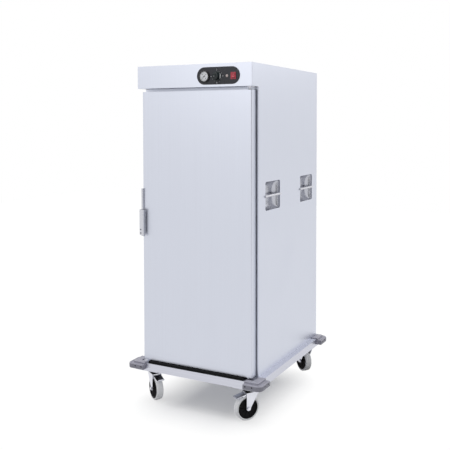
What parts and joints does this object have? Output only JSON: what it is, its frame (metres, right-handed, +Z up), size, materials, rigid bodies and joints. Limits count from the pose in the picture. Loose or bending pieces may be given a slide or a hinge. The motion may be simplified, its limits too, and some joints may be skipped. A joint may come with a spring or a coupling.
{
  "type": "enclosed meal tray cart",
  "caption": "Tall heated and insulated stainless cart with one full-height door, trays on runners inside, controls on top and swivel casters under a bumper frame.",
  "frame": {"origin": "on the floor at the centre of the footprint that the corner bumpers make", "axes": "+X to the right of a person facing the door, +Y from the door to the back, +Z up"},
  "size_m": [0.792, 0.905, 1.77],
  "materials": {
    "satin_steel": "satin stainless sheet",
    "rail_steel": "brushed stainless channel",
    "polished_steel": "polished stainless",
    "zinc_steel": "bright zinc plated pressing",
    "liner_steel": "satin stainless liner",
    "insulation_foam": "rigid foam board",
    "heater_tube": "dull sheathed tube",
    "control_black": "gloss black panel",
    "black_plastic": "moulded black plastic",
    "knob_black": "gloss black knob",
    "clear_lens": "clear lens",
    "needle_black": "painted pointer",
    "lamp_lens": "pale lamp lens",
    "switch_red": "red switch",
    "bumper_grey": "grey moulded bumper",
    "black_rubber": "black rubber",
    "tyre_white": "white thermoplastic rubber",
    "core_black": "black moulded wheel core",
    "dark_screw": "dark screw"
  },
  "bodies": {
    "cabinet": {"side_panel_left": "satin_steel", "side_panel_right": "satin_steel", "back_panel": "satin_steel", "roof_panel": "satin_steel", "face_frame": "satin_steel", "control_fascia": "satin_steel", "floor_pan": "satin_steel", "insulation": "insulation_foam", "chamber_liner": "liner_steel", "tray_rack_left": "liner_steel", "tray_rack_right": "liner_steel", "heating_element": "heater_tube", "heater_cover": "liner_steel", "water_pan": "liner_steel", "handle_cups_left": "polished_steel", "handle_cups_right": "polished_steel", "handle_bars": "polished_steel", "control_plate": "control_black", "thermometer_case": "black_plastic", "thermometer_lens": "clear_lens", "thermostat_body": "black_plastic", "indicator_lamp": "lamp_lens", "switch_housing": "switch_red", "power_inlet": "black_plastic", "base_frame": "rail_steel", "bumper_screws": "dark_screw", "sill_strip": "black_rubber", "caster_plates": "zinc_steel", "caster_bolts": "zinc_steel", "hinge_brackets": "polished_steel", "latch_keeper": "polished_steel", "bumper_front_left": "bumper_grey", "bumper_front_right": "bumper_grey", "bumper_rear_left": "bumper_grey", "bumper_rear_right": "bumper_grey"},
    "door": {"door_skin": "satin_steel", "door_insulation": "insulation_foam", "door_liner": "liner_steel", "door_gasket": "black_rubber", "door_bushes": "zinc_steel", "latch_base": "polished_steel"},
    "latch_lever": {"latch_grip": "polished_steel"},
    "latch_bolt": {"latch_bolt": "polished_steel"},
    "knob": {"thermostat_knob": "knob_black"},
    "rocker": {"power_rocker": "switch_red"},
    "needle": {"thermometer_needle": "needle_black"},
    "caster_front_left": {"fork_front_left": "zinc_steel"},
    "wheel_front_left": {"wheel_front_left": "core_black", "tyre_front_left": "tyre_white"},
    "brake_front_left": {"brake_pedal_front_left": "zinc_steel"},
    "caster_front_right": {"fork_front_right": "zinc_steel"},
    "wheel_front_right": {"wheel_front_right": "core_black", "tyre_front_right": "tyre_white"},
    "brake_front_right": {"brake_pedal_front_right": "zinc_steel"},
    "caster_rear_left": {"fork_rear_left": "zinc_steel"},
    "wheel_rear_left": {"wheel_rear_left": "core_black", "tyre_rear_left": "tyre_white"},
    "caster_rear_right": {"fork_rear_right": "zinc_steel"},
    "wheel_rear_right": {"wheel_rear_right": "core_black", "tyre_rear_right": "tyre_white"}
  },
  "joints": [
    {"name": "door_hinge", "type": "hinge", "parent": "cabinet", "child": "door", "pos_m": [0.305, -0.3875, 0.93], "axis": [0, 0, 1], "range_deg": [0, 180]},
    {"name": "latch_pull", "type": "hinge", "parent": "door", "child": "latch_lever", "pos_m": [-0.326, -0.4165, 0.925], "axis": [0, 0, -1], "range_deg": [0, 25], "stiffness_Nm_per_rad": 1.5, "springref_deg": -5.73},
    {"name": "bolt_slide", "type": "slide", "parent": "door", "child": "latch_bolt", "axis": [1, 0, 0], "range_m": [0, 0.006]},
    {"name": "thermostat_turn", "type": "hinge", "parent": "cabinet", "child": "knob", "pos_m": [0.142, -0.4295, 1.70675], "axis": [0, 1, 0], "range_deg": [0, 270]},
    {"name": "power_press", "type": "hinge", "parent": "cabinet", "child": "rocker", "pos_m": [0.235, -0.4275, 1.70675], "axis": [1, 0, 0], "range_deg": [0, 16]},
    {"name": "needle_sweep", "type": "hinge", "parent": "cabinet", "child": "needle", "pos_m": [0.071, -0.4355, 1.70675], "axis": [0, 1, 0], "range_deg": [0, 270], "stiffness_Nm_per_rad": 0.001},
    {"name": "swivel_front_left", "type": "hinge", "parent": "cabinet", "child": "caster_front_left", "pos_m": [-0.296, -0.3505, 0.141], "axis": [0, 0, 1], "continuous": true},
    {"name": "roll_front_left", "type": "hinge", "parent": "caster_front_left", "child": "wheel_front_left", "pos_m": [-0.26947, -0.36839, 0.0625], "axis": [0.5592, 0.829, 0], "continuous": true},
    {"name": "brake_front_left", "type": "hinge", "parent": "caster_front_left", "child": "brake_front_left", "pos_m": [-0.26201, -0.37343, 0.1315], "axis": [0.5592, 0.829, 0], "range_deg": [0, 12]},
    {"name": "swivel_front_right", "type": "hinge", "parent": "cabinet", "child": "caster_front_right", "pos_m": [0.296, -0.3505, 0.141], "axis": [0, 0, 1], "continuous": true},
    {"name": "roll_front_right", "type": "hinge", "parent": "caster_front_right", "child": "wheel_front_right", "pos_m": [0.27765, -0.37671, 0.0625], "axis": [0.8192, -0.5736, 0], "continuous": true},
    {"name": "brake_front_right", "type": "hinge", "parent": "caster_front_right", "child": "brake_front_right", "pos_m": [0.27248, -0.38409, 0.1315], "axis": [0.8192, -0.5736, 0], "range_deg": [0, 12]},
    {"name": "swivel_rear_left", "type": "hinge", "parent": "cabinet", "child": "caster_rear_left", "pos_m": [-0.296, 0.3655, 0.141], "axis": [0, 0, 1], "continuous": true},
    {"name": "roll_rear_left", "type": "hinge", "parent": "caster_rear_left", "child": "wheel_rear_left", "pos_m": [-0.27543, 0.39001, 0.0625], "axis": [-0.766, 0.6428, 0], "continuous": true},
    {"name": "swivel_rear_right", "type": "hinge", "parent": "cabinet", "child": "caster_rear_right", "pos_m": [0.296, 0.3655, 0.141], "axis": [0, 0, 1], "continuous": true},
    {"name": "roll_rear_right", "type": "hinge", "parent": "caster_rear_right", "child": "wheel_rear_right", "pos_m": [0.27011, 0.38431, 0.0625], "axis": [-0.5878, -0.809, 0], "continuous": true}
  ],
  "couplings": [
    {"joint": "bolt_slide", "follows": "latch_pull", "m_per_rad": 0.013613}
  ]
}
